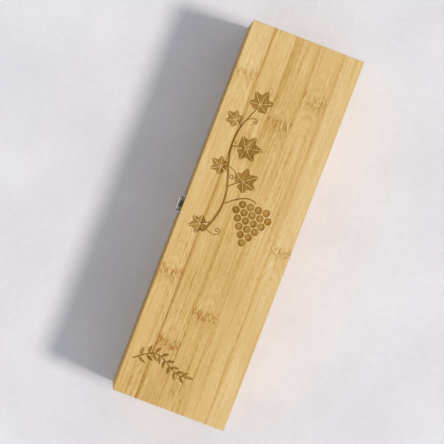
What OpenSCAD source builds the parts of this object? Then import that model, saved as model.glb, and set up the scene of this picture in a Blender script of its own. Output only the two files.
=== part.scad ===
// Wine box for one bottle, in laminated bamboo: a finger-jointed base with two bottle supports,
// and a tray lid on two butt hinges, kept shut by a small toggle latch.
// X runs along the box, with the bottle's neck towards -X. The latch is on -Y and the hinges on +Y.
// The origin is the centre of the underside.

/* [Box] */
// Outer length of the box
box_l = 360; // [330:5:420]
// Outer width of the box, without its metalwork
box_w = 108; // [100:1:130]
// Height of the base, with its bottom panel
base_h = 76; // [66:1:90]
// Height of the lid, with its top panel
lid_h = 29; // [26:1:45]

/* [Boards] */
// Thickness of the walls of the base and the rails of the lid
wall_t = 8; // [6.5:0.5:10]
// Thickness of the top and bottom panels
panel_t = 6; // [4:0.5:9]
// Nominal width of one finger of the corner joints
finger_w = 10; // [7:0.5:14]
// Radius of the sanded outer edges
edge_r = 0.6; // [0.4:0.1:1.2]
// Gap between the shut lid and the base
seam_gap = 0.2; // [0.1:0.1:0.4]

/* [Bottle supports] */
// Diameter of the widest bottle that fits
bottle_d = 78; // [70:1:80]
// Diameter of the bottle's neck
neck_d = 30; // [26:1:34]
// Height of the bottle above the bottom panel
bottle_lift = 5; // [3:0.5:8]
// Play between the bottle and the notch that it lies in
bottle_play = 0.5; // [0.2:0.1:1.5]
// Thickness of the two supports
cradle_t = 8; // [5:0.5:12]
// Distance from the foot wall to the body support
body_cradle_run = 86; // [60:1:120]
// Distance from the head wall to the neck support
neck_cradle_run = 66; // [40:1:90]
// Height of the body support's horns below the bottle's axis
horn_drop = 4; // [2:0.5:10]
// Height of the neck support above the bottle's axis
neck_rise = 5; // [2:0.5:10]
// Radius of the neck notch's rounded mouth
mouth_r = 4; // [2:0.5:6]
// Depth of the grooves that hold the supports
groove_d = 2; // [1:0.5:3]
// Play of a support in its grooves
groove_play = 0.1; // [0.05:0.05:0.3]

/* [Hinges] */
// Distance from the end of the box to the middle of a hinge
hinge_inset = 70; // [40:1:100]
// Width of a hinge
hinge_w = 26; // [22:1:34]
// Depth of a leaf in the seam, from the back of the box
leaf_d = 6.6; // [6.2:0.2:7.2]
// Thickness of a leaf
leaf_t = 0.8; // [0.7:0.1:1]
// Outer diameter of the barrel
barrel_d = 3.4; // [3.2:0.1:3.8]
// Diameter of the hinge pin
pin_d = 1.4; // [1.2:0.1:1.6]
// Distance of the barrel's middle from the back of the box
barrel_out = 0.4; // [0.3:0.1:1]
// Gap between the barrel and the wood that is cut away for it
barrel_gap = 0.3; // [0.2:0.1:0.5]
// Play of a leaf in the recess that is cut for it
recess_play = 0.1; // [0.05:0.05:0.3]
// Distance between the two screws of one leaf
screw_pitch = 15; // [13:0.5:17]

/* [Latch] */
// Width of the latch plate and of the catch plate
latch_w = 21; // [20:0.5:26]
// Thickness of the latch's sheet metal
sheet_t = 0.7; // [0.6:0.1:0.9]
// Height of the latch plate
latch_plate_h = 15; // [13:0.5:20]
// Height of the catch plate
catch_plate_h = 10; // [8:0.5:13]
// Distance of the latch plate from the seam
latch_drop = 2; // [1:0.5:4]
// Distance of the catch plate from the seam
catch_rise = 2.5; // [1.5:0.5:4]
// Corner radius of both plates
plate_r = 2; // [1:0.25:3]
// Distance of the lever's pin below the seam
lever_drop = 6; // [5:0.5:8]
// Distance of the lever's pin from the wood
lever_out = 2.4; // [2.3:0.1:3]
// Width of the lever
lever_w = 10.4; // [9.5:0.1:11]
// Length of the lever below its pin
lever_l = 19; // [17:0.5:24]
// Radius of the lever's rounded tip
lever_tip_r = 3.2; // [2.5:0.1:4.5]
// Radius of the lever's outward curve
flare_r = 44; // [30:1:70]
// Diameter of the lever's pin
lever_pin_d = 1.4; // [1.2:0.1:1.5]
// Diameter of the bail's wire
wire_d = 1.4; // [1.2:0.1:1.5]
// Distance from the lever's pin down to the bail's pivot
bail_arm = 4.5; // [4:0.1:5.5]
// Distance from the lever's pin in to the bail's pivot, which carries it past dead centre
bail_inset = 0.3; // [0.2:0.05:0.4]
// Width of the catch's hook
hook_w = 6; // [4:0.5:8]
// Height of the hook's lip above the middle of its bend
lip_h = 2; // [1:0.1:2.5]
// Clearance between the latch's moving pieces
latch_gap = 0.3; // [0.2:0.05:0.4]

/* [Screws] */
// Diameter of a screw's shank
shank_d = 1.6; // [1.3:0.1:1.8]
// Diameter of a screw's head
head_d = 3.2; // [3:0.1:3.6]
// Length of a hinge screw in the wood
hinge_screw_l = 8; // [5:0.5:12]
// Length of a latch screw in the wood
latch_screw_l = 5; // [3:0.5:6]
// Height of a latch screw's round head above its plate
round_head_h = 0.7; // [0.4:0.1:0.9]
// Play round pins and screws
pin_play = 0.05; // [0.02:0.01:0.08]

/* [Hidden] */
$fn = 48;

bamboo = "#d3b174";
bamboo_edge = "#c29a5c";
nickel = "#c4c4c2";
steel = "#9c9da0";

cut = 1;                                  // how far a cut runs past the face that it opens
box_h = base_h + lid_h;
seam_z = base_h + seam_gap / 2;
lid_low = base_h + seam_gap;
lid_top = box_h - panel_t;                // underside of the top panel
inner_w = box_w - 2 * wall_t;

bottle_z = panel_t + bottle_lift + bottle_d / 2;
body_cradle_x = box_l / 2 - wall_t - body_cradle_run;
neck_cradle_x = -box_l / 2 + wall_t + neck_cradle_run;
body_cradle_top = bottle_z - horn_drop;
neck_cradle_top = bottle_z + neck_rise;

hinge_x = box_l / 2 - hinge_inset;
barrel_r = barrel_d / 2;
knuckle_gap = 0.2;                        // between two knuckles
knuckle_w = hinge_w / 3 - knuckle_gap;    // of the lid leaf's one knuckle
groove_r = barrel_r + barrel_gap;         // of the wood cut away round the barrel
rivet_lip = 0.4;                          // by which a pin's riveted head stands out round it
pin_head_d = pin_d + 2 * rivet_lip;
pin_head_t = 0.5;
leaf_screw_out = -(leaf_d - barrel_out + groove_r) / 2;
hole_r = shank_d / 2 + pin_play;
drill_play = 0.3;                         // by which a drilled hole is deeper than its screw
sink_t = 0.2;                             // of a countersunk hole's straight mouth below its cone

swing_gap = 0.25;                         // between the lever's turning edges and the plate
sheet_gap = 0.2;                          // between the lever's front sheet and the ears
eye_wall = 0.45;                          // of the cheek round the bail's pivot
head_edge = 1;                            // from a screw's head to the edge of its plate
ear_r = lever_pin_d / 2 + sheet_t;
cheek_x = lever_w / 2 - sheet_t;          // inner face of the lever's cheeks
ear_x = cheek_x - latch_gap - sheet_t;    // inner face of the plate's ears
cheek_r = lever_out - sheet_t - swing_gap;
eye_r = wire_d / 2 + eye_wall;
web_in = ear_r + sheet_gap;               // the lever's front sheet, measured out from its pin
web_out = web_in + sheet_t;
web_top = -1;                             // upper edge of that sheet, measured up from the pin
flare_z = -10;                            // where the lever starts to curve outwards
bail_pivot = [lever_out - bail_inset, -lever_drop - bail_arm];
bail_x = lever_w / 2 + latch_gap + wire_d / 2;
bail_bend_r = 2;                          // of the wire's middle, at the two upper corners
hook_play = 0.2;                          // of the bail's bar in the hook's bend
hook_in = wire_d / 2 + hook_play;         // inner radius of that bend
hook_out = hook_in + sheet_t;
hook_mid = [sheet_t + hook_in, catch_rise + hook_out];
hook_relief = 0.4;                        // slots that free the hook from the rest of its plate
bail_l = norm(hook_mid - bail_pivot);     // so that the bar fits the hook's bend
bar_out = hook_mid.x + hook_out + latch_gap + wire_d / 2;
bail_lean = asin((bar_out - bail_pivot.x) / bail_l);
latch_screw_x = latch_w / 2 - head_d / 2 - head_edge;
latch_screw_z = -latch_drop - latch_plate_h + head_d / 2 + head_edge;
catch_screw_z = catch_rise + catch_plate_h / 2;

// ---- shared shapes ----

// A rectangle with round corners, its low corner at the origin
module rounded_rect(size, r) {
    translate([r, 0]) square([size.x - 2 * r, size.y]);
    translate([0, r]) square([size.x, size.y - 2 * r]);
    for (x = [r, size.x - r], y = [r, size.y - r]) translate([x, y]) circle(r);
}

// A block between two heights over the whole plan of the box, with its edges sanded round
module sanded_block(low, high) {
    h = high - low;
    translate([-box_l / 2, -box_w / 2, low]) intersection() {
        linear_extrude(h) rounded_rect([box_l, box_w], edge_r);
        translate([0, box_w, 0]) rotate([90, 0, 0])
            linear_extrude(box_w) rounded_rect([box_l, h], edge_r);
        rotate([90, 0, 90]) linear_extrude(box_l) rounded_rect([box_w, h], edge_r);
    }
}

// An odd number of fingers, so that the long boards end in a finger above and below
function finger_count(h) = 2 * round((h / finger_w - 1) / 2) + 1;

// The spaces between fingers at both ends of a board that runs along X, every second one from first
module finger_spaces(length, low, high, first) {
    step = (high - low) / finger_count(high - low);
    for (side = [-1, 1], i = [first : 2 : finger_count(high - low) - 1])
        translate([side * (length / 2 - wall_t / 2 + cut / 2), 0, low + (i + 0.5) * step])
            cube([wall_t + cut, wall_t + 2 * cut, step], center = true);
}

// A board that runs along X from end to end of the box, on the side given
module long_board(side, low, high, form_low, form_high) {
    intersection() {
        sanded_block(form_low, form_high);
        translate([0, side * (box_w - wall_t) / 2, 0]) difference() {
            translate([-box_l / 2, -wall_t / 2, low]) cube([box_l, wall_t, high - low]);
            finger_spaces(box_l, low, high, 1);
        }
    }
}

// A board that runs along Y and closes the end given
module short_board(end, low, high, form_low, form_high) {
    intersection() {
        sanded_block(form_low, form_high);
        translate([end * (box_l - wall_t) / 2, 0, 0]) rotate([0, 0, 90]) difference() {
            translate([-box_w / 2, -wall_t / 2, low]) cube([box_w, wall_t, high - low]);
            finger_spaces(box_w, low, high, 0);
        }
    }
}

// Places a drawing made in (out from the wood, up from the seam) on the front and extrudes it along X
module on_front(width) {
    translate([0, -box_w / 2, seam_z]) rotate([90, 0, -90])
        linear_extrude(width, center = true) children();
}

// The same for the back
module on_back(width) {
    translate([0, box_w / 2, seam_z]) rotate([90, 0, 90])
        linear_extrude(width, center = true) children();
}

// A countersunk screw along Z, its head flush with the top of a hinge leaf that lies on the origin
module hinge_screw() {
    translate([0, 0, -hinge_screw_l]) cylinder(d = shank_d, h = hinge_screw_l + leaf_t);
    translate([0, 0, sink_t]) cylinder(d1 = shank_d, d2 = head_d, h = leaf_t - sink_t);
}

// A round-headed screw along Z, its head on the top of a latch plate that lies on the origin
module latch_screw() {
    dome_r = (head_d * head_d / 4 + round_head_h * round_head_h) / (2 * round_head_h);
    translate([0, 0, -latch_screw_l]) cylinder(d = shank_d, h = latch_screw_l + sheet_t);
    translate([0, 0, sheet_t]) intersection() {
        cylinder(d = head_d + cut, h = round_head_h);
        translate([0, 0, round_head_h - dome_r]) sphere(dome_r);
    }
}

// Screw places of the four hinge leaves, looking up out of the base for up = -1 and down for up = 1
module at_hinge_screws(up) {
    for (end = [-1, 1], side = [-1, 1])
        translate([end * hinge_x + side * screw_pitch / 2, box_w / 2 + leaf_screw_out,
                   seam_z + up * (seam_gap / 2 + leaf_t)])
            rotate([up > 0 ? 180 : 0, 0, 0]) children();
}

// Screw places of a latch plate at the height given above the seam
module at_front_screws(z) {
    for (side = [-1, 1])
        translate([side * latch_screw_x, -box_w / 2, seam_z + z]) rotate([90, 0, 0]) children();
}

// A hole drilled for a screw that goes the length given into the wood
module pilot_hole(length) {
    translate([0, 0, -length - drill_play]) cylinder(r = hole_r, h = length + drill_play + cut);
}

// What is cut from both sides of the seam for the two hinges: recesses for the leaves, and a
// round groove for the barrel
module hinge_seats() {
    recess_z = seam_gap / 2 + leaf_t;
    for (end = [-1, 1]) translate([end * hinge_x, 0, 0]) {
        on_back(hinge_w + 2 * recess_play) translate([-leaf_d - recess_play, -recess_z])
            square([leaf_d + recess_play + cut, 2 * recess_z]);
        on_back(hinge_w + 2 * (pin_head_t + barrel_gap)) translate([barrel_out, 0])
            circle(groove_r);
    }
}

// ---- base ----

module bottom_panel() {
    color(bamboo) intersection() {
        sanded_block(0, base_h);
        translate([-box_l / 2, -box_w / 2, 0]) cube([box_l, box_w, panel_t]);
    }
}

// The grooves of both supports, cut into the inner face of a long wall
module cradle_grooves(side) {
    for (place = [[body_cradle_x, body_cradle_top], [neck_cradle_x, neck_cradle_top]])
        translate([place.x, side * inner_w / 2, (panel_t + place.y) / 2])
            cube([cradle_t + 2 * groove_play, 2 * groove_d, place.y - panel_t + 2 * groove_play],
                 center = true);
}

module base_front_wall() {
    color(bamboo) difference() {
        long_board(-1, panel_t, base_h, 0, base_h);
        cradle_grooves(-1);
        at_front_screws(latch_screw_z) pilot_hole(latch_screw_l);
    }
}

module base_back_wall() {
    color(bamboo) difference() {
        long_board(1, panel_t, base_h, 0, base_h);
        cradle_grooves(1);
        hinge_seats();
        at_hinge_screws(-1) pilot_hole(hinge_screw_l);
    }
}

module base_head_wall() {
    color(bamboo_edge) short_board(-1, panel_t, base_h, 0, base_h);
}

module base_foot_wall() {
    color(bamboo_edge) short_board(1, panel_t, base_h, 0, base_h);
}

// A support's blank across the box, let into both grooves, with the notch that is drawn cut out
module cradle(x, top) {
    width = inner_w + 2 * (groove_d - groove_play);
    translate([x, 0, 0]) rotate([90, 0, 90]) linear_extrude(cradle_t, center = true) difference() {
        translate([-width / 2, panel_t]) square([width, top - panel_t]);
        translate([0, bottle_z]) children();
    }
}

module body_cradle() {
    color(bamboo) cradle(body_cradle_x, body_cradle_top) circle(bottle_d / 2 + bottle_play, $fn = 96);
}

module neck_cradle() {
    r = neck_d / 2 + bottle_play;
    color(bamboo) cradle(neck_cradle_x, neck_cradle_top) {
        circle(r);
        translate([-r, 0]) square([2 * r, neck_rise + cut]);
        translate([0, neck_rise - mouth_r]) difference() {
            translate([-r - mouth_r, 0]) square([2 * (r + mouth_r), mouth_r + cut]);
            for (side = [-1, 1]) translate([side * (r + mouth_r), 0]) circle(mouth_r);
        }
    }
}

// ---- lid ----

module top_panel() {
    color(bamboo) intersection() {
        sanded_block(lid_low, box_h);
        translate([-box_l / 2, -box_w / 2, lid_top]) cube([box_l, box_w, panel_t]);
    }
}

module lid_front_rail() {
    color(bamboo) difference() {
        long_board(-1, lid_low, lid_top, lid_low, box_h);
        at_front_screws(catch_screw_z) pilot_hole(latch_screw_l);
    }
}

module lid_back_rail() {
    color(bamboo) difference() {
        long_board(1, lid_low, lid_top, lid_low, box_h);
        hinge_seats();
        at_hinge_screws(1) pilot_hole(hinge_screw_l);
    }
}

module lid_head_rail() {
    color(bamboo_edge) short_board(-1, lid_low, lid_top, lid_low, box_h);
}

module lid_foot_rail() {
    color(bamboo_edge) short_board(1, lid_low, lid_top, lid_low, box_h);
}

// ---- hinges ----

// One leaf, let into the wood of the lid for up = 1 and of the base for up = -1: a plate, and the
// knuckles that it rolls into round the pin, each as [middle, width]. Between its own knuckles
// the plate is cut back for the other leaf's.
module hinge_leaf(end, up, knuckles) {
    low = up > 0 ? seam_gap / 2 : -seam_gap / 2 - leaf_t;
    color(nickel) difference() {
        translate([end * hinge_x, 0, 0]) {
            on_back(hinge_w) translate([-leaf_d, low])
                square([leaf_d + barrel_out - groove_r, leaf_t]);
            for (k = knuckles) translate([k.x, 0, 0]) on_back(k.y) {
                translate([-leaf_d, low]) square([leaf_d + barrel_out, leaf_t]);
                translate([barrel_out, 0]) circle(barrel_r);
            }
        }
        translate([end * hinge_x, 0, 0]) on_back(hinge_w + 2 * cut)
            translate([barrel_out, 0]) circle(pin_d / 2 + pin_play);
        at_hinge_screws(up) {
            translate([0, 0, -cut]) cylinder(r = hole_r, h = leaf_t + 2 * cut);
            translate([0, 0, sink_t]) cylinder(r1 = hole_r, r2 = head_d / 2 + pin_play,
                                               h = leaf_t - sink_t);
        }
    }
}

module base_leaf(end) {
    side_w = (hinge_w - knuckle_w) / 2 - knuckle_gap;
    side_x = (hinge_w - side_w) / 2;
    hinge_leaf(end, -1, [[-side_x, side_w], [side_x, side_w]]);
}

module lid_leaf(end) {
    hinge_leaf(end, 1, [[0, knuckle_w]]);
}

module hinge_pin(end) {
    color(steel) translate([end * hinge_x, 0, 0]) {
        on_back(hinge_w) translate([barrel_out, 0]) circle(pin_d / 2);
        for (side = [-1, 1]) translate([side * (hinge_w + pin_head_t) / 2, 0, 0])
            on_back(pin_head_t) translate([barrel_out, 0]) circle(pin_head_d / 2);
    }
}

module hinge_screws(up) {
    color(nickel) at_hinge_screws(up) hinge_screw();
}

// ---- latch ----

// A sheet-metal plate on the front, from one height to another above the seam
module latch_sheet(low, high) {
    translate([-latch_w / 2, -box_w / 2, seam_z + low]) rotate([90, 0, 0])
        linear_extrude(sheet_t) rounded_rect([latch_w, high - low], plate_r);
}

// Base-side plate with the two bent-up ears that carry the lever's pin
module latch_plate() {
    color(nickel) difference() {
        union() {
            latch_sheet(-latch_drop - latch_plate_h, -latch_drop);
            for (side = [-1, 1]) translate([side * (ear_x + sheet_t / 2), 0, 0])
                on_front(sheet_t) {
                    translate([lever_out, -lever_drop]) circle(ear_r);
                    translate([0, -lever_drop - ear_r]) square([lever_out, 2 * ear_r]);
                }
        }
        on_front(lever_w) translate([lever_out, -lever_drop]) circle(lever_pin_d / 2 + pin_play);
        at_front_screws(latch_screw_z)
            translate([0, 0, -cut]) cylinder(r = hole_r, h = sheet_t + 2 * cut);
    }
}

module latch_plate_screws() {
    color(nickel) at_front_screws(latch_screw_z) latch_screw();
}

module lever_pin() {
    color(steel) on_front(lever_w) translate([lever_out, -lever_drop]) circle(lever_pin_d / 2);
}

// Lid-side plate whose middle is bent out and up into the hook that the bail's bar drops behind
module catch_plate() {
    color(nickel) difference() {
        union() {
            difference() {
                latch_sheet(catch_rise, catch_rise + catch_plate_h);
                on_front(hook_w + 2 * hook_relief) translate([-cut, 0])
                    square([sheet_t + 2 * cut, hook_mid.y]);
            }
            on_front(hook_w) translate(hook_mid) {
                difference() {
                    circle(hook_out);
                    circle(hook_in);
                    translate([-hook_out - cut, 0]) square(2 * (hook_out + cut));
                }
                translate([hook_in, 0]) square([sheet_t, lip_h]);
                translate([hook_in + sheet_t / 2, lip_h]) circle(sheet_t / 2);
            }
        }
        at_front_screws(catch_screw_z)
            translate([0, 0, -cut]) cylinder(r = hole_r, h = sheet_t + 2 * cut);
    }
}

module catch_plate_screws() {
    color(nickel) at_front_screws(catch_screw_z) latch_screw();
}

// The lever's sheet seen from the side: straight, then an arc that leans out to the tip
module lever_side() {
    translate([web_in, flare_z]) square([sheet_t, web_top - flare_z]);
    translate([web_in + flare_r, flare_z]) intersection() {
        difference() {
            circle(flare_r, $fn = 180);
            circle(flare_r - sheet_t, $fn = 180);
        }
        translate([-flare_r - cut, flare_z * 2]) square([flare_r, -flare_z * 2]);
    }
}

// The lever's sheet seen from the front: parallel at the pin, then drawn in to a round tip
module lever_front() {
    tip_z = -lever_l + lever_tip_r;
    polygon([
        [-lever_w / 2, web_top + cut], [-lever_w / 2, flare_z],
        [-lever_tip_r, tip_z], [lever_tip_r, tip_z],
        [lever_w / 2, flare_z], [lever_w / 2, web_top + cut]
    ]);
    translate([0, tip_z]) circle(lever_tip_r);
}

module latch_lever() {
    eye = [-bail_inset, -bail_arm];
    color(nickel) difference() {
        union() {
            intersection() {
                on_front(lever_w) translate([lever_out, -lever_drop]) lever_side();
                translate([0, -box_w / 2 + cut, seam_z - lever_drop]) rotate([90, 0, 0])
                    linear_extrude(lever_l) lever_front();
            }
            for (side = [-1, 1]) translate([side * (cheek_x + sheet_t / 2), 0, 0])
                on_front(sheet_t) translate([lever_out, -lever_drop]) {
                    circle(cheek_r);
                    translate(eye) circle(eye_r);
                    polygon([
                        [-cheek_r, 0], [eye.x - eye_r, eye.y], [eye.x, eye.y - eye_r],
                        [web_out, flare_z], [web_out, web_top], [0, cheek_r]
                    ]);
                }
        }
        on_front(lever_w + 2 * cut) translate([lever_out, -lever_drop]) {
            circle(lever_pin_d / 2 + pin_play);
            translate(eye) circle(wire_d / 2 + pin_play);
        }
    }
}

// Half of the wire loop, drawn with its pivot at the origin and its bar up: one leg, one bend, half the bar
module half_bail() {
    translate([cheek_x - pin_play * 2, 0, 0]) rotate([0, 90, 0])
        cylinder(d = wire_d, h = bail_x - cheek_x + pin_play * 2);
    translate([bail_x, 0, 0]) sphere(d = wire_d);
    translate([bail_x, 0, 0]) cylinder(d = wire_d, h = bail_l - bail_bend_r);
    translate([bail_x - bail_bend_r, 0, bail_l - bail_bend_r]) rotate([90, 0, 0])
        rotate_extrude(angle = 90) translate([bail_bend_r, 0]) circle(d = wire_d);
    translate([0, 0, bail_l]) rotate([0, 90, 0]) cylinder(d = wire_d, h = bail_x - bail_bend_r);
}

// Wire loop. At rest its bar leans against the outside of the hook, so the lid is free.
module latch_bail() {
    color(steel) translate([0, -box_w / 2 - bail_pivot.x, seam_z + bail_pivot.y])
        rotate([bail_lean, 0, 0]) {
            half_bail();
            mirror([1, 0, 0]) half_bail();
        }
}

bottom_panel();
base_front_wall();
base_back_wall();
base_head_wall();
base_foot_wall();
body_cradle();
neck_cradle();
base_leaf(-1);  // head_hinge_base_leaf
base_leaf(1);  // foot_hinge_base_leaf
hinge_pin(-1);  // head_hinge_pin
hinge_pin(1);  // foot_hinge_pin
hinge_screws(-1);  // hinge_base_screws
latch_plate();
latch_plate_screws();
lever_pin();
top_panel();
lid_front_rail();
lid_back_rail();
lid_head_rail();
lid_foot_rail();
lid_leaf(-1);  // head_hinge_lid_leaf
lid_leaf(1);  // foot_hinge_lid_leaf
hinge_screws(1);  // hinge_lid_screws
catch_plate();
catch_plate_screws();
latch_lever();
latch_bail();
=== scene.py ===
"""A wine box for one bottle, in laminated bamboo, with a toggle latch in front and two butt
hinges behind. X runs along the box from its head to its foot, -Y is the front and Z is up.
Lengths are in metres, but the engraving and the heads of the screws are in millimetres."""
import math
from collections import namedtuple

import bmesh
import bpy
import numpy as np
from mathutils import Matrix, Vector


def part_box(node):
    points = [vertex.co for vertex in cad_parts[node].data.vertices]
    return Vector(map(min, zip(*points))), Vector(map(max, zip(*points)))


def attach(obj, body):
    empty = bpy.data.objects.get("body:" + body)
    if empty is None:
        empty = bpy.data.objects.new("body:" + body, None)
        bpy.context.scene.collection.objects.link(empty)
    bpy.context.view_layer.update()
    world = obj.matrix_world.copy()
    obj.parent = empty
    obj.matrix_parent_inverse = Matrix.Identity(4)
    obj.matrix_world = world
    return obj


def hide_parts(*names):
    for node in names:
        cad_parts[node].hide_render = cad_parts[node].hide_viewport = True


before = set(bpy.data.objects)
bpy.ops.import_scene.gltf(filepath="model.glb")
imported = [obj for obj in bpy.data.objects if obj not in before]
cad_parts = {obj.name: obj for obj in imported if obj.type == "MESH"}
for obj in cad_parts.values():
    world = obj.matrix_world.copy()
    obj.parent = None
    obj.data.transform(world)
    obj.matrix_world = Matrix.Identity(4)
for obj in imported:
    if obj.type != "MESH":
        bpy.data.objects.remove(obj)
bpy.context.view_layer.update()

# ---- bottom panel ----
# A 6 mm panel of laminated bamboo that the walls stand on: flat strips about 22 mm wide, glued
# edge to edge, planed, sanded and waxed. Every strip shows its fibres and, here and there, a
# knuckle: the scar of one of the culm's joints.

BAMBOO_TONES = [(0.0, (150, 102, 43)), (0.25, (195, 149, 74)), (0.5, (220, 184, 116)),
                (0.75, (233, 204, 151)), (1.0, (246, 225, 183))]
WARM_TONE, KNUCKLE_TONE = (212, 166, 104), (170, 110, 34)
STRIP_W = 0.022                        # a strip's usual width
STRIP_SHIFT = 0.137                    # how far apart two strips are cut from the culm's noise
GLUE_LINE = 0.0004                     # half the width of a glue line
GLUE_STAIN = 0.0027                    # how far glue has darkened the wood beside it
STAIN_AT = GLUE_STAIN / 4              # how far above the line the stain has its middle
GLUE_STRAY = 0.0006                    # how far a glue line strays, from side to side
KNUCKLE = 0.0060                       # half the length of a knuckle
KNUCKLE_STRAY = 0.007                  # how far its ragged ends stray
FLUSH, FLUSH_AT = 0.014, 0.004         # reach and middle of the darker wood round a knuckle
ARCHES = 0.050                         # how far from a knuckle the fibres still form arches
SATIN, PORES = 0.58, 0.00012           # the waxed wood's roughness, and the depth of its pores
PANEL_SEAMS = [-0.0326, -0.0110, 0.0124, 0.0355, 0.0540]      # upper edges of the strips, along Y

Strip = namedtuple("Strip", "edge tone knuckle spacing glue fade")


def light(*values):
    """A colour given by three numbers up to 255, as amounts of light."""
    return tuple(((v / 255 + 0.055) / 1.055) ** 2.4 for v in values) + (1.0,)


class Value:
    """One output of a shader node. An expression on it adds the Math nodes that work it out."""

    def __init__(self, finish, socket):
        self.finish, self.socket = finish, socket

    def math(self, operation, *terms):
        """The Math node of this operation on these terms."""
        return self.finish.node("Math", dict(enumerate(terms)), operation=operation)

    def __add__(self, other):
        return self.math("ADD", self, other)

    def __sub__(self, other):
        return self.math("SUBTRACT", self, other)

    def __rsub__(self, other):
        return self.math("SUBTRACT", other, self)

    def __mul__(self, other):
        return self.math("MULTIPLY", self, other)

    def __gt__(self, other):
        return self.math("GREATER_THAN", self, other)

    def __abs__(self):
        return self.math("ABSOLUTE", self)

    __radd__, __rmul__ = __add__, __mul__


class Finish:
    """The nodes of a material, or of the sky. node() adds any node, and the rest are short for
    some of them."""

    def __init__(self, owner):
        owner.use_nodes = True
        self.owner, self.tree = owner, owner.node_tree
        self.tree.nodes.clear()

    def node(self, kind, inputs, output=0, stops=None, **settings):
        """A new node: its settings and colour stops are set first, then the values or links of
        its inputs. Gives one output, or a list where output is a tuple."""
        made = self.tree.nodes.new("ShaderNode" + kind)
        for name, setting in settings.items():
            setattr(made, name, setting)
        if stops:
            ramp = made.color_ramp.elements
            while len(ramp) < len(stops):
                ramp.new(0.5)
            for mark, (place, colour) in zip(ramp, stops):
                mark.position, mark.color = place, light(*colour)
        for name, given in inputs.items():
            if isinstance(given, Value):
                self.tree.links.new(given.socket, made.inputs[name])
            else:
                made.inputs[name].default_value = given
        if isinstance(output, tuple):
            return [Value(self, made.outputs[o]) for o in output]
        return Value(self, made.outputs[output]) if made.outputs else None

    def step(self, value, low, high):
        """0 below low and 1 above high, smooth between. With low above high it falls."""
        return self.node("MapRange", {"Value": value, "From Min": low, "From Max": high},
                         interpolation_type="SMOOTHSTEP")

    def wrap(self, value, pitch):
        """The value less as many whole pitches as leave it within half a pitch of 0."""
        return self.node("Math", {0: value, 1: pitch * 0.5, 2: pitch * -0.5}, operation="WRAP")

    def noise(self, place, scale, detail=1.0, offset=0.0):
        """Smooth noise round 0.5, with this many waves per metre along each axis."""
        stretched = self.node("VectorMath", {0: place, 1: scale, 2: (offset,) * 3},
                              operation="MULTIPLY_ADD")
        return self.node("TexNoise", {"Vector": stretched, "Scale": 1.0, "Detail": detail})

    def mix(self, share, first, second):
        """The first colour where share is 0 and the second where it is 1."""
        return self.node("Mix", {0: share, 6: first, 7: second}, output=2, data_type="RGBA")

    def surface(self, **inputs):
        """Ends the material with a Principled BSDF that has these inputs."""
        named = {name.replace("_", " "): given for name, given in inputs.items()}
        shader = self.node("BsdfPrincipled", named)
        self.node("OutputMaterial", {"Surface": shader})
        return self.owner


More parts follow.
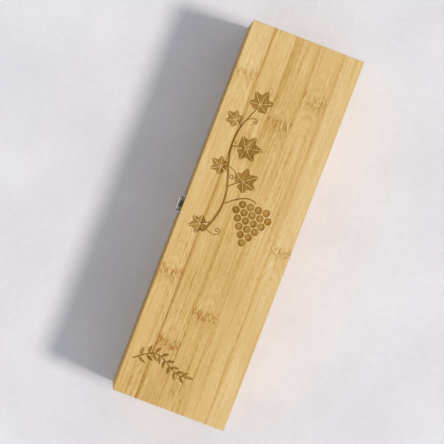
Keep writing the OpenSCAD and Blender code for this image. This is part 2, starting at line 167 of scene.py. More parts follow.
class Bamboo(Finish):
    """Strips of bamboo glued edge to edge. Grain, width and thickness run along the object's
    axes, in the order given. Its tone is 0 where it is darkest and 1 where it is palest."""

    def __init__(self, name, axes, strips, seed):
        super().__init__(bpy.data.materials.new(name))
        self.strips = strips
        self.place = self.node("TexCoord", {}, output="Object")
        self.xyz = self.node("SeparateXYZ", {0: self.place}, output=(0, 1, 2))
        self.along, self.across, self.deep = (self.xyz[axis] for axis in axes)
        normal = self.node("TexCoord", {}, output="Normal")
        facing = self.node("SeparateXYZ", {0: normal}, output=axes[0])
        self.end_grain = self.step(abs(facing), 0.55, 0.85)

        self.passed = [self.across > strip.edge for strip in strips[:-1]]
        self.number = self.stepped(range(len(strips)))
        self.stray = (self.noise(self.place, (12, 12, 12), offset=seed + 4) - 0.5) * GLUE_STRAY
        self.grainy = self.node("CombineXYZ", {0: self.along, 1: self.across + self.stray,
                                               2: self.deep + self.number * STRIP_SHIFT + seed})
        drift = self.noise(self.place, (9, 9, 9), offset=seed)
        self.marks, arches = self.knuckles()
        self.streak, threads, fine_relief = self.fibres()
        glue = self.glue()
        fade = self.stepped([strip.fade for strip in strips])
        self.tone = (self.stepped([strip.tone for strip in strips]) + fade * self.along
                     + (drift - 0.5) * 0.22 + threads + arches
                     - glue * 0.34 - self.end_grain * 0.14)
        self.relief = fine_relief - self.marks * 0.8 - glue * 0.4

    def stepped(self, values):
        """The value of the strip that a point is in: the first one, and at each seam that lies
        below the point the step to the next."""
        total = values[0]
        for passed, low, high in zip(self.passed, values, values[1:]):
            total = total + passed * (high - low)
        return total

    def grain(self, lengthwise, crosswise, detail, offset):
        """Noise drawn out along the grain, by its waves per metre along and across it. The
        offset keeps it apart from the other noises."""
        return self.noise(self.grainy, (lengthwise, crosswise, crosswise), detail, offset)

    def glue(self):
        """How dark glue makes a point: a fine line at each seam, and a stain a little above."""
        total = 0
        for strip in self.strips[:-1]:
            off = self.across - strip.edge + self.stray
            line = self.step(abs(off), GLUE_LINE * 2, 0.0)
            stain = self.step(abs(off - STAIN_AT), GLUE_STAIN, 0.0)
            total = total + line * (strip.glue * 0.35) + stain * (strip.glue * 0.65)
        return total

    def fibres(self):
        """Broad bands, streaks, fibres and threads, which are stronger in some patches, less
        dark veins and dashes. Gives the streaks, the sum as a change of tone, and the relief."""
        broad = self.grain(5, 105, 2.0, 0.0)
        streak = self.grain(20, 640, 3.0, 0.0)
        fibre = self.grain(210, 1300, 2.0, 3.0)
        thread = self.grain(24, 2400, 1.0, 11.0)
        vein = self.grain(3.2, 230, 1.5, 17.0)
        patch = self.step(self.grain(16, 90, 1.0, 21.0), 0.35, 0.65)
        veins = (self.step(abs(vein - 0.40), 0.035, 0.0)
                 + self.step(abs(vein - 0.58), 0.022, 0.0) * 0.7)
        dashes = self.step(fibre, 0.54, 0.66)
        tone = ((broad - 0.5) * 0.14 + (streak - 0.5) * (patch * 0.50 + 0.36)
                + (fibre - 0.5) * (patch * 0.40 + 0.38) + (thread - 0.5) * 0.24
                - veins * 0.06 - dashes * 0.05)
        return streak, tone, streak * 0.5 + fibre * 0.5 - veins * 0.3

    def knuckles(self):
        """The scars, bowed by the square of the way from the strip's middle: dark marks and pale
        chips where the bundles of fibres end, darker wood round them, and arches of fibres that
        bow far more. Gives the marks, and all of it as a change of tone."""
        middles = [self.strips[0].edge - STRIP_W / 2]
        middles += [(low.edge + high.edge) / 2 for low, high in zip(self.strips, self.strips[1:])]
        from_middle = self.across - self.stepped(middles)
        bow = from_middle * from_middle
        ragged = (self.grain(60, 300, 1.0, 8.0) - 0.5) * KNUCKLE_STRAY
        start = self.stepped([strip.knuckle for strip in self.strips])
        spacing = self.stepped([strip.spacing for strip in self.strips])
        run = self.wrap(self.along - start + bow * 22 + ragged, spacing)
        scar = self.step(abs(run), KNUCKLE, KNUCKLE * 0.4)
        bundle = self.grain(170, 1400, 1.0, 5.0)
        row = self.grain(330, 420, 1.0, 31.0)
        marks = self.step(bundle, 0.44, 0.58) * self.step(row, 0.36, 0.54)
        chips = self.step(bundle, 0.52, 0.38) * self.step(row, 0.62, 0.44)
        flush = self.step(abs(run - FLUSH_AT), FLUSH, 0.002)
        bowed = self.node("CombineXYZ", {0: run - bow * 190, 1: self.number})
        arches = self.noise(bowed, (170, 1, 1), 2.0)
        near = self.step(abs(run), ARCHES, 0.018)
        tone = ((arches - 0.5) * near * 0.55 + scar * chips * 0.26
                - scar * (marks * 0.10 + 0.05) - flush * 0.08)
        return scar * marks, tone

    def board(self, colour, joint=0, rougher=0.0):
        """Ends the material: matt, a little rougher at end grain, and sunk at a glued joint."""
        bump = self.node("Bump", {"Height": self.relief - joint, "Strength": 0.35,
                                  "Distance": PORES})
        rough = (self.streak - 0.5) * 0.25 + self.end_grain * 0.15 + (SATIN + rougher)
        return self.surface(Base_Color=colour, Roughness=rough, Normal=bump,
                            Specular_IOR_Level=0.15)


def bamboo(name, axes, strips, seed, joints=None):
    """Sanded bamboo: its colour goes with its tone, redder in some patches, and its knuckles are
    browner towards the foot. Where joints are given, glue shows as a dark line at the panel's
    seam, along the fingers' edges and at their roots."""
    f = Bamboo(name, axes, strips, seed)
    joint = 0
    if joints:
        edge = f.wrap(f.xyz[2] - joints.first, joints.finger)
        joint = (f.step(abs(f.xyz[2] - joints.panel), GLUE_LINE, GLUE_LINE * 0.3)
                 + f.end_grain * (f.step(abs(edge), GLUE_LINE, GLUE_LINE * 0.3)
                                  + f.step(abs(f.deep), joints.inner + GLUE_LINE, joints.inner)))
    warm = f.step(f.grain(14, 75, 2.0, 41.0), 0.42, 0.70)
    ripe = f.along * 2.4 + 0.62
    colour = f.node("ValToRGB", {0: f.tone - joint * 0.3}, stops=BAMBOO_TONES)
    colour = f.mix(warm * 0.3, colour, light(*WARM_TONE))
    colour = f.mix(f.marks * ripe, colour, light(*KNUCKLE_TONE))
    return f.board(colour, joint)


def lay(seams, *rows):
    """A board's strips, each with its upper edge at a seam. A row holds its tone, the place of a
    knuckle along it, the distance to the next, how dark the glue at its upper edge is and how
    much paler it grows per metre."""
    return [Strip(seam, *row) for seam, row in zip(seams, rows)]


def dress(node, material):
    """The CAD node keeps its shape and gets this material."""
    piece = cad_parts[node]
    piece.data.materials.clear()
    piece.data.materials.append(material)


dress("bottom_panel", bamboo("bottom_bamboo", (0, 1, 2), lay(
    PANEL_SEAMS, (0.50, 0.07, 0.21, 0.7, 0.2), (0.56, -0.03, 0.24, 0.5, -0.1),
    (0.47, 0.12, 0.19, 0.8, 0.1), (0.54, -0.10, 0.23, 0.5, -0.2), (0.58, 0.02, 0.22, 0.0, 0.1)),
    2.0))

# ---- walls of the base ----
# Four 8 mm bamboo boards with finger joints at the corners, glued and then sanded flush: the
# long walls show their fingers' end grain on the ends of the box, the short walls on its sides.

WALL_SEAMS = [0.0290, 0.0515, 0.0760]                         # upper edges of the strips, along Z
FINGER = 0.010                         # a finger's height
BOTTOM_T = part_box("bottom_panel")[1].z
SIDE_IN, END_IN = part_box("base_back_wall")[0].y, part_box("base_foot_wall")[0].x

# the heights of the panel's seam and of the first finger's edge, the fingers' height, and how
# far from the box's middle the board's inner face lies
Joints = namedtuple("Joints", "panel first finger inner")
side_joints = Joints(panel=BOTTOM_T, first=BOTTOM_T, finger=FINGER, inner=SIDE_IN)
end_joints = side_joints._replace(inner=END_IN)

# the front wall's strips get far darker tones than the back wall's: painted shade, for the shade
# the front lies in
dress("base_front_wall", bamboo("front_wall_bamboo", (0, 2, 1), lay(
    WALL_SEAMS, (0.31, -0.06, 0.21, 0.6, 0.1), (0.36, 0.09, 0.23, 0.4, -0.1),
    (0.28, -0.13, 0.20, 0.0, 0.1)), 3.1, side_joints))
dress("base_back_wall", bamboo("back_wall_bamboo", (0, 2, 1), lay(
    WALL_SEAMS, (0.52, 0.03, 0.22, 0.5, -0.2), (0.47, -0.08, 0.20, 0.7, 0.1),
    (0.51, 0.14, 0.24, 0.0, -0.1)), 4.3, side_joints))
for node, seed in (("base_head_wall", 5.2), ("base_foot_wall", 6.4)):
    dress(node, bamboo(node + "_bamboo", (1, 2, 0), lay(
        WALL_SEAMS, (0.52, 0.02, 0.30, 0.6, 0.2), (0.48, -0.03, 0.30, 0.5, -0.3),
        (0.53, 0.17, 0.30, 0.0, 0.2)), seed, end_joints))

# ---- bottle supports ----
# Two upright bamboo boards of two strips each, let into grooves in the long walls: one has a
# wide notch for the bottle's body and one a narrow notch for its neck.

CRADLE_SEAMS = [0.0280, 0.0600]
for node, seed in (("body_cradle", 7.5), ("neck_cradle", 8.6)):
    dress(node, bamboo(node + "_bamboo", (1, 2, 0), lay(
        CRADLE_SEAMS, (0.52, 0.10, 0.30, 0.5, 0.2), (0.55, -0.02, 0.30, 0.0, -0.2)), seed))

# ---- rails of the lid ----
# Four 8 mm bamboo rails, finger-jointed at the corners like the walls below them: they make the
# lid's panel into a shallow tray and hold one leaf of each hinge and the latch's catch.

RAIL_SEAMS = [0.0905, 0.0990]
LID_LOW, LID_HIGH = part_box("lid_back_rail")[0].z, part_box("lid_back_rail")[1].z
LID_FINGER = (LID_HIGH - LID_LOW) / 3
side_joints = Joints(panel=LID_HIGH, first=LID_LOW, finger=LID_FINGER, inner=SIDE_IN)
end_joints = side_joints._replace(inner=END_IN)

# the front rail's tone, 0.29 against the back rail's 0.51, is painted shade for the shade the
# front lies in
for node, seed, tone in (("lid_front_rail", 9.3, 0.29), ("lid_back_rail", 10.7, 0.51)):
    dress(node, bamboo(node + "_bamboo", (0, 2, 1), lay(
        RAIL_SEAMS, (tone, seed / 100, 0.21, 0.5, 0.1),
        (tone + 0.04, -seed / 100, 0.22, 0.0, -0.1)), seed, side_joints))
for node, seed in (("lid_head_rail", 11.1), ("lid_foot_rail", 12.9)):
    dress(node, bamboo(node + "_bamboo", (1, 2, 0), lay(
        RAIL_SEAMS, (0.54, 0.03, 0.30, 0.5, 0.2), (0.50, -0.04, 0.30, 0.0, -0.2)), seed,
        end_joints))

# ---- lid's panel, with its engraving ----
# A 6 mm bamboo panel of five strips, glued on the rails. A laser has burnt a vine with grapes,
# and a twig below it, a third of a millimetre deep into it: darkest along the outlines.

LID_STRIPS = lay(
    PANEL_SEAMS, (0.56, -0.1305, 0.1925, 1.05, -0.44), (0.49, 0.124, 0.190, 0.6, -0.30),
    (0.48, -0.099, 0.188, 0.35, 0.08), (0.54, -0.129, 0.420, 0.6, 0.18),
    (0.64, 0.010, 0.400, 0.0, 0.12))
BURNT_TONES = [(0.0, (116, 77, 24)), (0.35, (157, 112, 44)), (0.6, (188, 143, 70)),
               (1.0, (212, 172, 104))]
MM = 0.001
LID_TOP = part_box("top_panel")[1].z
LID_CORNER = np.array(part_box("top_panel")[0][:2])
BURN_RIM, BURN_FLOOR = 0.34, 0.24      # depths, along an outline and inside it
CLEAR = 1.0                            # how far a cutter stands over the panel

# a vine leaf's tips and notches: degrees off its axis, and the reach of each from the stalk
LEAF_TURNS = np.array([0, 27, 52, 80, 108, 140, 160, 178])
LEAF_REACH = np.array([1.0, 0.60, 0.90, 0.50, 0.70, 0.47, 0.46, 0.16])
# where its veins end, and half a vein's width
LEAF_TIPS, VEIN = [-174, -108, -52, 0, 52, 108, 174], 0.35
# the leaves: each one's place on the stem, the length and heading of its stalk, and its size
LEAVES = [(0.08, 9, 205, 12.5), (0.37, 15, 38, 16), (0.47, 8.5, 158, 12), (0.66, 13, 12, 17),
          (0.82, 8, 150, 11.5), (1.0, 2.5, 75, 15.5)]
# the tendrils: each one's place on the stem, heading, length and curl
TENDRILS = [(0.52, -15, 34, -9.0), (0.88, 40, 26, -8.5), (0.03, -25, 34, 8.5)]
# a grape's radius, the way to the next one and to the next row, the bunch's top and its rows
GRAPE, GRAPE_STEP, GRAPE_ROW = 3.4, 7.7, 6.6
BUNCH, BUNCH_ROWS = np.array([62.0, 161.0]), (4, 5, 4, 3, 2, 1)
BLADE_HALF = 1.4                       # half the width of one of the twig's leaves


def toward(heading, length=1.0):
    """Page steps of this length: degrees anticlockwise from rightwards, with down counted up."""
    turn = np.radians(heading)
    return np.stack([np.cos(turn), -np.sin(turn)], -1) * np.asarray(length)[..., None]


def ring_faces(rings, around):
    """Quads between neighbouring rings of points, each ring closed on itself."""
    first = np.arange(rings * around).reshape(rings, around)
    after = np.roll(first, -1, axis=1)
    return np.stack([first[:-1], first[1:], after[1:], after[:-1]], -1).reshape(-1, 4)


def cutter(page, heights):
    """A closed form from rings of page points (rings, n, 2), right of and below the panel's
    front head corner, and the heights of the rings over the panel's top."""
    rings, around = page.shape[:2]
    flat = LID_CORNER + page[..., ::-1] * MM
    points = np.dstack([flat, LID_TOP + np.broadcast_to(heights, (rings, around)) * MM])
    return points.reshape(-1, 3), ring_faces(rings, around)


def pocket(outline, hub, levels):
    """An outline of (n, 2) page points carried down through levels: each is its share of the way
    out from the hub, and its height. A share of 0 closes it."""
    share, height = np.array(levels).T
    return cutter(hub + share[:, None, None] * (outline - hub), height[:, None])


def groove(path, half):
    """A round-ended stroke along (n, 2) page points: at each, a trough of this half width. It
    deepens a little on its way, so that no floor lies in another's plane where strokes cross."""
    ahead = np.gradient(path, axis=0)
    side = np.stack([-ahead[:, 1], ahead[:, 0]], -1) / np.linalg.norm(ahead, axis=1)[:, None]
    across = np.array([-1, -1, -0.45, 0.45, 1, 1])
    shallow = np.array([CLEAR, -0.12, -0.12, -0.12, -0.12, CLEAR])
    trough = np.array([CLEAR, -BURN_RIM, -BURN_FLOOR, -BURN_FLOOR, -BURN_RIM, CLEAR])
    half = np.broadcast_to(half, len(path))[:, None]
    from_ends = np.minimum(*(np.linalg.norm(path - end, axis=1) for end in path[[0, -1]]))
    full = np.clip(from_ends[:, None] / half, 0, 1) ** 0.5
    deeper = 0.02 * np.linspace(0, 1, len(path))[:, None]
    height = shallow + full * (trough - shallow - deeper)
    return cutter(path[:, None] + (half * full * across)[..., None] * side[:, None], height)


def bend(start, pull, end):
    """Points on the quadratic curve from start to end that pull draws towards itself."""
    t = np.linspace(0, 1, 18)[:, None]
    return (1 - t) ** 2 * start + 2 * t * (1 - t) * pull + t * t * end


def leaf_reach(turn):
    """How far a vine leaf reaches from its stalk, by the angle from its axis: between a notch and
    a tip it grows with the power 1.5 of the way there, less small teeth."""
    turn = np.abs(turn)
    last = np.searchsorted(LEAF_TURNS, turn, side="right") - 1
    last = np.clip(last, 0, len(LEAF_TURNS) - 2)
    start, end = LEAF_REACH[last], LEAF_REACH[last + 1]
    way = (turn - LEAF_TURNS[last]) / (LEAF_TURNS[last + 1] - LEAF_TURNS[last])
    way = np.where(end > start, way, 1 - way)
    notch, tip = np.minimum(start, end), np.maximum(start, end)
    teeth = np.abs((turn / 8) % 1 - 0.5) * 2
    return (notch + (tip - notch) * way ** 1.5) * (1 - 0.07 * teeth)


def vine_leaf(stalk, heading, size):
    """Six pockets between a leaf's veins, which run from the stalk to its tips."""
    made = []
    for low, high in zip(LEAF_TIPS, LEAF_TIPS[1:]):
        margin = np.degrees(VEIN / (size * leaf_reach(np.array([low, high]))))
        turn = np.linspace(low + margin[0], high - margin[1], 26)
        middle = (low + high) / 2
        root = stalk + toward(middle + heading, VEIN / math.sin(math.radians(high - low) / 2))
        edge = stalk + toward(turn + heading, leaf_reach(turn) * size)
        hub = stalk + toward(middle + heading, 0.62 * size * leaf_reach(np.array([middle]))[0])
        made.append(pocket(np.vstack([root, edge])[::-1], hub, [
            (0, CLEAR), (1, CLEAR), (1, -BURN_RIM), (0.86, -BURN_FLOOR), (0.4, -0.2), (0, -0.17)]))
    return made


def stem(t):
    """The vine's stem, from its foot at 0 to its tip at 1: a slow wave that leans to the right."""
    return np.stack([25 + 7 * np.sin(6.6 * np.asarray(t)) + 5 * t, 197 - 124 * t], -1)


def grape(middle):
    """A pocket whose floor is a low dome. Its highest, palest point lies up and to the left."""
    outline = middle + toward(np.arange(0, 360, 15.0), GRAPE)[::-1]
    return pocket(outline, middle - (0.8, 0.9), [
        (0, CLEAR), (1, CLEAR), (1, -BURN_RIM), (0.8, -0.26), (0.5, -0.17), (0.22, -0.09),
        (0, -0.08)])


def twig(t):
    """The twig's line, from left to right: a wave that flattens out."""
    t = np.asarray(t)
    return np.stack([6 + 52 * t, 322 - 7 * np.sin(np.pi * (1.9 * t - 0.25)) * (1 - 0.3 * t)], -1)


def blade(root, heading, length, bow):
    """A slender leaf: its half width and its bow to the left go with the sine of the way along."""
    way = np.linspace(0, 1, 14)
    half = BLADE_HALF * np.sin(np.pi * way ** 0.8)[:, None] ** 0.9
    side = toward(heading + 90)
    spine = root + toward(heading) * (way * length)[:, None]
    spine = spine + side * (np.sin(np.pi * way) * bow)[:, None]
    edge = np.vstack([spine + half * side, (spine - half * side)[-2:0:-1]])
    return pocket(edge[::-1], spine[7], [
        (0, CLEAR), (1, CLEAR), (1, -BURN_RIM), (0.7, -BURN_FLOOR), (0, -0.2)])


def vine():
    """The cutters of the vine: the stem, ever thinner, the leaves on their stalks, the bunch of
    grapes in rows on its own stalk, and tendrils that turn ever tighter."""
    way = np.linspace(0, 1, 90)
    made = [groove(stem(way), 1.15 - 0.55 * way)]
    for place, length, heading, size in LEAVES:
        start = stem(place)
        stalk = start + toward(heading, length)
        if place < 1:
            made.append(groove(bend(start, (start + stalk) / 2 - (0, 2), stalk), 0.55))
        made += vine_leaf(stalk, heading, size)
    for row, count in enumerate(BUNCH_ROWS):
        for k in range(count):
            made.append(grape(BUNCH + ((k - (count - 1) / 2) * GRAPE_STEP, row * GRAPE_ROW)))
    made.append(groove(bend(stem(0.24), np.array([52.0, 149.0]), BUNCH - (0, GRAPE + 1)), 0.6))
    for place, heading, length, curl in TENDRILS:
        turn = heading + np.degrees(curl * way ** 2.2)
        steps = toward(turn, length / len(way) * (1 - 0.45 * way))
        made.append(groove(stem(place) + np.cumsum(steps, axis=0), 0.4))
    return made


def leafy_twig():
    """The cutters of the twig: its line, ever thinner, a pair of leaves at each of eight places,
    which lean forwards more and grow shorter along it, and one leaf at its tip."""
    way = np.linspace(0, 1, 90)
    made = [groove(twig(way), 0.75 - 0.35 * way)]
    for t in np.linspace(0.10, 0.90, 8):
        ahead = twig(t + 0.01) - twig(t)
        heading = math.degrees(math.atan2(-ahead[1], ahead[0]))
        for side, lean in ((-1, 64 - 22 * t), (1, 50 - 8 * t)):
            root = twig(t + 0.03 * (side > 0)) + toward(heading + side * 90, 0.5)
            made.append(blade(root, heading + side * lean, 8.6 - 2.0 * t, side * 0.45))
    return made + [blade(twig(0.985), 4, 8.5, 0.4)]


def joined(mesh):
    """The mesh as a form to work on, with its doubled points merged."""
    form = bmesh.new()
    form.from_mesh(mesh)
    bmesh.ops.remove_doubles(form, verts=form.verts, dist=1e-7)
    return form


def put(name, mesh, form, *materials):
    """The worked form goes back into its mesh, and the mesh into the scene as a piece."""
    form.to_mesh(mesh)
    form.free()
    for material in materials:
        mesh.materials.append(material)
    piece = bpy.data.objects.new(name, mesh)
    bpy.context.scene.collection.objects.link(piece)
    return piece


def new_piece(name, points, faces, *materials):
    """A piece of these points and faces, which are turned to face outwards."""
    mesh = bpy.data.meshes.new(name)
    mesh.from_pydata(points, [], faces)
    form = joined(mesh)
    bmesh.ops.recalc_face_normals(form, faces=form.faces)
    return put(name, mesh, form, *materials)


def merged_copy(node, name, *materials):
    """A piece with a CAD node's form: its loose triangles joined, and flat faces made whole."""
    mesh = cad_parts[node].data.copy()
    mesh.materials.clear()
    form = joined(mesh)
    bmesh.ops.dissolve_limit(form, angle_limit=math.radians(0.5), verts=form.verts,
                             edges=form.edges)
    return put(name, mesh, form, *materials)


def stands_for(piece, node, body):
    """The piece moves with this body, in the place of this CAD node."""
    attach(piece, body)
    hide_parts(node)


def charred(name, axes, strips, seed, top):
    """Bamboo that a laser has burnt, in patches, and darker the deeper it lies under the top."""
    f = Bamboo(name, axes, strips, seed)
    char = f.step(top - f.xyz[2], 0.00004, 0.00036)
    patchy = f.grain(30, 160, 2.0, 12.0)
    tone = f.tone * 0.9 + 0.16 - char * 0.34 + (patchy - 0.5) * 0.5
    return f.board(f.node("ValToRGB", {0: tone}, stops=BURNT_TONES), rougher=0.2)


lid_bamboo = bamboo("lid_bamboo", (0, 1, 2), LID_STRIPS, 1.0)
burnt_bamboo = charred("burnt_bamboo", (0, 1, 2), LID_STRIPS, 1.0, LID_TOP)
panel = merged_copy("top_panel", "engraved_top_panel", lid_bamboo, burnt_bamboo)

# each cutter is sunk by its own share of 0.02 mm, so that no two floors lie in one plane
cutters = vine() + leafy_twig()
starts = np.cumsum([0] + [len(points) for points, _ in cutters])
sinks = [(0, 0, 0.02 * MM * (k * 0.618 % 1)) for k in range(len(cutters))]
laser = new_piece("laser", np.vstack([points - sink for (points, _), sink in zip(cutters, sinks)]),
                  np.vstack([faces + start for (_, faces), start in zip(cutters, starts)]),
                  lid_bamboo, burnt_bamboo)
laser.data.polygons.foreach_set("material_index", np.ones(len(laser.data.polygons), np.int32))
carve = panel.modifiers.new("carve", "BOOLEAN")
carve.operation, carve.solver, carve.use_self, carve.object = "DIFFERENCE", "EXACT", True, laser
depsgraph = bpy.context.evaluated_depsgraph_get()
carved = bpy.data.meshes.new_from_object(panel.evaluated_get(depsgraph))
panel.modifiers.clear()
panel.data = carved
bpy.data.objects.remove(laser)
stands_for(panel, "top_panel", "lid")

# ---- hinges ----
# Two butt hinges of stamped and nickel-plated steel, let into the seam behind so that only the
# barrel stands out. Each has a leaf in the base and one in the lid, rolled round a steel pin.


def plated(name, colour, roughness):
    """Plated metal: bright, a little cloudy, with faint scratches and smudges."""
    f = Finish(bpy.data.materials.new(name))
    place = f.node("TexCoord", {}, output="Object")
    cloud = f.noise(place, (180, 180, 180), 3.0)
    tarnish = f.step(f.noise(place, (110, 110, 110), 3.0, offset=2.0), 0.48, 0.66)
    scratch = f.noise(place, (300, 2500, 900), 2.0)
    base = f.mix(cloud, light(*colour), light(*(0.86 * c for c in colour)))
    base = f.mix(tarnish * 0.4, base, light(*(0.60 * c for c in colour)))
    bump = f.node("Bump", {"Height": cloud * 0.5 + scratch, "Strength": 0.2,
                           "Distance": 0.00004})
    return f.surface(Base_Color=base, Metallic=1.0, Normal=bump,
                     Roughness=(cloud - 0.5) * 0.3 + roughness + (scratch - 0.5) * 0.1)


def smooth(piece, crease):
    """Shades the piece's curved faces smoothly, and leaves edges of more degrees sharp."""
    piece.data.polygons.foreach_set("use_smooth", np.ones(len(piece.data.polygons), bool))
    piece.data.set_sharp_from_angle(angle=math.radians(crease))


def metal_copy(node, name, body, material, rounding, crease=35.0):
    """A metal piece with a CAD node's form, in its place, with its sharp edges rounded off."""
    piece = merged_copy(node, name, material)
    edges = piece.modifiers.new("edges", "BEVEL")
    edges.width, edges.segments, edges.limit_method = rounding, 2, "ANGLE"
    edges.angle_limit = math.radians(crease)
    smooth(piece, crease)
    stands_for(piece, node, body)


hinge_nickel = plated("hinge_plate", (204, 201, 194), 0.24)
bright_steel = plated("steel_wire", (212, 211, 208), 0.16)
for end in ("head", "foot"):
    for body in ("base", "lid"):
        metal_copy(f"{end}_hinge_{body}_leaf", f"{end}_{body}_leaf", body,
                   hinge_nickel, rounding=0.00008)
    metal_copy(f"{end}_hinge_pin", f"turned_{end}_hinge_pin", "base",
               bright_steel, rounding=0.0001)

# ---- screws of the hinges ----
# Eight countersunk screws of nickel-plated steel, two to a leaf, sunk flush with it: the leaf's
# holes take their heads, and crosses in the heads take the screwdriver.

FLAT_HEAD = [(0, 0), (0.5, 0), (1.1, -0.01), (1.55, -0.05), (1.58, -0.2), (0.8, -0.98)]
FLAT_LENGTH = 0.0080
SHANK_R, POINT_L = 0.0008, 0.0006
CROSS_HALF, CROSS_REACH, CROSS_DEPTH = 0.00026, 0.00105, 0.00045
CROSS_WALL, CROSS_RAMP = 0.00003, 0.0003               # how far its sides and its ends slope
HINGE_SCREW_STEP = 0.0075                              # from a leaf's middle to its screws
UPWARD = ((1, 0, 0), (0, 1, 0), (0, 0, 1))
DOWNWARD = ((1, 0, 0), (0, -1, 0), (0, 0, -1))


def turned(profile, around):
    """A closed form turned about Z, as rings of points: profile is (radius, height) pairs, the
    first and last of them on the axis."""
    radius, height = np.array(profile).T
    turn = np.linspace(0, 2 * np.pi, around, endpoint=False)
    return np.dstack([np.outer(radius, np.cos(turn)), np.outer(radius, np.sin(turn)),
                      np.repeat(height[:, None], around, 1)])


def screw(head, length):
    """A screw along Z, with the top of its shank at 0. head is (radius, height) pairs in mm, of
    which the first four go from the axis out to the rim: that face is cut by a cross, whose arms
    are as deep everywhere but at their steep sides and at their sloping ends."""
    fine = np.linspace(0, 1, 36)
    reach, top = np.array(head[:4]).T
    face = np.stack([fine * reach[-1], np.interp(fine * reach[-1], reach, top)], -1)
    form = turned(np.vstack([face * MM, np.array(head[4:]) * MM,
                             [(SHANK_R, -length), (0, -length - POINT_L)]]), 120)
    x, y = np.abs(form[:len(face), :, :2]).transpose(2, 0, 1)
    arm = [np.clip((CROSS_HALF - wide) / CROSS_WALL, 0, 1)
           * np.clip((CROSS_REACH - out) / CROSS_RAMP, 0, 1) for wide, out in ((y, x), (x, y))]
    form[:len(face), :, 2] -= CROSS_DEPTH * np.maximum(*arm)
    return form


def screws(name, form, turns, places, node, body):
    """One piece with a screw of this form in each place, turned to point the given way."""
    rings, around = form.shape[:2]
    points, faces = [], []
    for k, (place, spin) in enumerate(places):
        spun = Matrix(turns) @ Matrix.Rotation(math.radians(spin), 3, "Z")
        points.append(form.reshape(-1, 3) @ np.array(spun).T + place)
        faces.append(ring_faces(rings, around) + k * rings * around)
    piece = new_piece(name, np.vstack(points), np.vstack(faces), screw_nickel)
    smooth(piece, 40.0)
    stands_for(piece, node, body)


screw_nickel = plated("screw_plate", (196, 194, 188), 0.30)
flat = screw(FLAT_HEAD, FLAT_LENGTH)
low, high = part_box("hinge_base_screws"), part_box("hinge_lid_screws")
middle_y = (low[0].y + low[1].y) / 2
middles = [(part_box(leaf)[0].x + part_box(leaf)[1].x) / 2
           for leaf in ("head_hinge_base_leaf", "foot_hinge_base_leaf")]
screw_x = [middle + step for middle in middles for step in (-HINGE_SCREW_STEP, HINGE_SCREW_STEP)]
screws("base_hinge_screws", flat, UPWARD,
       [((x, middle_y, low[1].z), spin) for x, spin in zip(screw_x, (15, 63, 38, 81))],
       "hinge_base_screws", "base")
screws("lid_hinge_screws", flat, DOWNWARD,
       [((x, middle_y, high[0].z), spin) for x, spin in zip(screw_x, (35, 83, 58, 101))],
       "hinge_lid_screws", "lid")

# ---- latch ----
# A small toggle latch of stamped, nickel-plated steel: on the base a plate with two ears and a
# lever pinned between them, through the lever's cheeks a wire bail, and on the lid a catch plate
# with the hook that the bail pulls down.

# the plates get a far darker nickel and the lever a paler one than the hinges': painted shade for
# the dark gap and reflections beside the lid, and painted highlight on the lever
plate_nickel_painted_shade = plated("latch_plates_painted_shade", (124, 120, 113), 0.24)
lever_nickel_painted_highlight = plated("lever_plate_painted_highlight", (224, 221, 215), 0.17)
metal_copy("latch_plate", "stamped_latch_plate", "base", plate_nickel_painted_shade, 0.00014)
metal_copy("catch_plate", "stamped_catch_plate", "lid", plate_nickel_painted_shade, 0.00014)
metal_copy("latch_lever", "stamped_latch_lever", "lever", lever_nickel_painted_highlight, 0.00014)
metal_copy("lever_pin", "turned_lever_pin", "base", bright_steel, 0.0001)
metal_copy("latch_bail", "bent_latch_bail", "bail", bright_steel, 0.00004)

# ---- screws of the latch ----
# Four round-headed screws of nickel-plated steel, two through the latch's plate into the front
# wall and two through the catch plate into the lid's rail.

ROUND_HEAD = [(0, 0.70), (0.6, 0.655), (1.15, 0.50), (1.45, 0.28), (1.6, 0.05), (1.6, 0), (0.8, 0)]
ROUND_LENGTH = 0.0052
HEAD_H, HEAD_R = ROUND_HEAD[0][1] * MM, ROUND_HEAD[4][0] * MM
FORWARD = ((1, 0, 0), (0, 0, -1), (0, 1, 0))           # a screw's head turned to the front

round_head = screw(ROUND_HEAD, ROUND_LENGTH)
for node, body, spins in (("latch_plate_screws", "base", (25, 70)),
                          ("catch_plate_screws", "lid", (52, 8))):
    low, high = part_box(node)
    screws("round_" + node, round_head, FORWARD,
           [((x, low.y + HEAD_H, (low.z + high.z) / 2), spin)
            for x, spin in zip((low.x + HEAD_R, high.x - HEAD_R), spins)], node, body)

# ---- floor ----
# A plain floor of pale plaster under the box, trowelled flat and left matt: faintly mottled, and
# far wider than what the camera sees.

FLOOR = 6.0                                            # half the floor's side


def plaster():
    """Plaster: clouds some 10 cm across with a fine grain in them, in its shade and relief."""
    f = Finish(bpy.data.materials.new("plaster"))
    place = f.node("TexCoord", {}, output="Object")
    mottle = f.noise(place, (9, 9, 9), 6.0)
    grain = f.noise(place, (160, 160, 160), 3.0)
    shade = f.step(mottle * 0.75 + grain * 0.25, 0.3, 0.7)
    colour = f.mix(shade, light(223, 221, 226), light(235, 233, 237))
    bump = f.node("Bump", {"Height": mottle + grain * 0.2, "Strength": 0.2, "Distance": 0.0006})
    return f.surface(Base_Color=colour, Roughness=0.85, Normal=bump)


ground = bpy.data.meshes.new("floor")
corners = [(-FLOOR, -FLOOR, 0), (FLOOR, -FLOOR, 0), (FLOOR, FLOOR, 0), (-FLOOR, FLOOR, 0)]
ground.from_pydata(corners, [], [(0, 1, 2, 3)])
ground.materials.append(plaster())
floor = bpy.data.objects.new("floor", ground)
bpy.context.scene.collection.objects.link(floor)

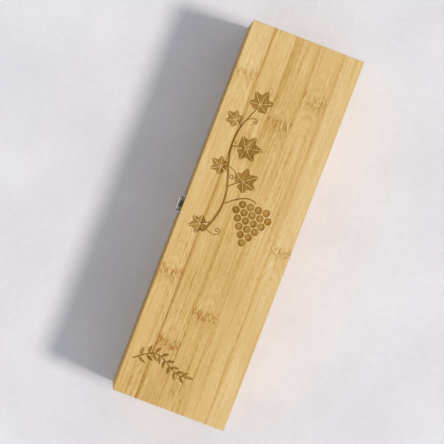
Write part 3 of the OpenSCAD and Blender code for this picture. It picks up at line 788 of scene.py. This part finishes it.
# ---- light ----
# A warm key lamp behind the box throws its shadow forwards, a wide cool one above fills it in,
# and a pale sky lights the rest and shows as the backdrop.

WARM, COOL = (1.0, 0.95, 0.89), (0.95, 1.02, 1.12)
AMBIENT, BACKDROP = 0.25, 0.80                         # the sky's strength as a light and as seen


def lamp(name, elevation, spread, strength, colour):
    """A sun that shines from behind the box at this elevation, spread over this angle."""
    sun = bpy.data.objects.new(name, bpy.data.lights.new(name, "SUN"))
    sun.data.energy, sun.data.angle, sun.data.color = strength, math.radians(spread), colour
    tilt = math.radians(elevation)
    sun.rotation_mode = "QUATERNION"
    sun.rotation_quaternion = Vector((0, math.cos(tilt), math.sin(tilt))).to_track_quat("Z", "Y")
    bpy.context.scene.collection.objects.link(sun)


lamp("key", 55.5, 10.0, 1.95, WARM)
lamp("overhead", 90.0, 100.0, 0.72, COOL)

sky = Finish(bpy.data.worlds.new("studio"))
bpy.context.scene.world = sky.owner
seen, mirrored, through = sky.node("LightPath", {}, output=("Is Camera Ray", "Is Glossy Ray",
                                                            "Is Transmission Ray"))
shown = seen + mirrored + through
tint = sky.mix(shown, (*COOL, 1), (1, 1, 1, 1))
backdrop = sky.node("Background", {"Color": tint,
                                   "Strength": shown * (BACKDROP - AMBIENT) + AMBIENT})
sky.node("OutputWorld", {"Surface": backdrop})
bpy.context.scene.view_settings.view_transform = "Standard"

# ---- camera ----
# It looks down on the lid from 2.3 m above it through a long lens, a little from in front, and
# is rolled so that the box's head lies up and to the right.

EYE, AIM = Vector((0.02404, -0.11191, 2.39638)), Vector((0.00256, -0.01542, 0.105))
ROLL, LENS = 20.945, 204.4                             # degrees, and mm

camera = bpy.data.objects.new("camera", bpy.data.cameras.new("camera"))
camera.data.lens = LENS
backward = (EYE - AIM).normalized()
up = Vector((-math.cos(math.radians(ROLL)), -math.sin(math.radians(ROLL)), 0))
right = up.cross(backward).normalized()
turn = Matrix((right, backward.cross(right), backward)).transposed()
camera.matrix_world = Matrix.Translation(EYE) @ turn.to_4x4()
bpy.context.scene.collection.objects.link(camera)
bpy.context.scene.camera = camera
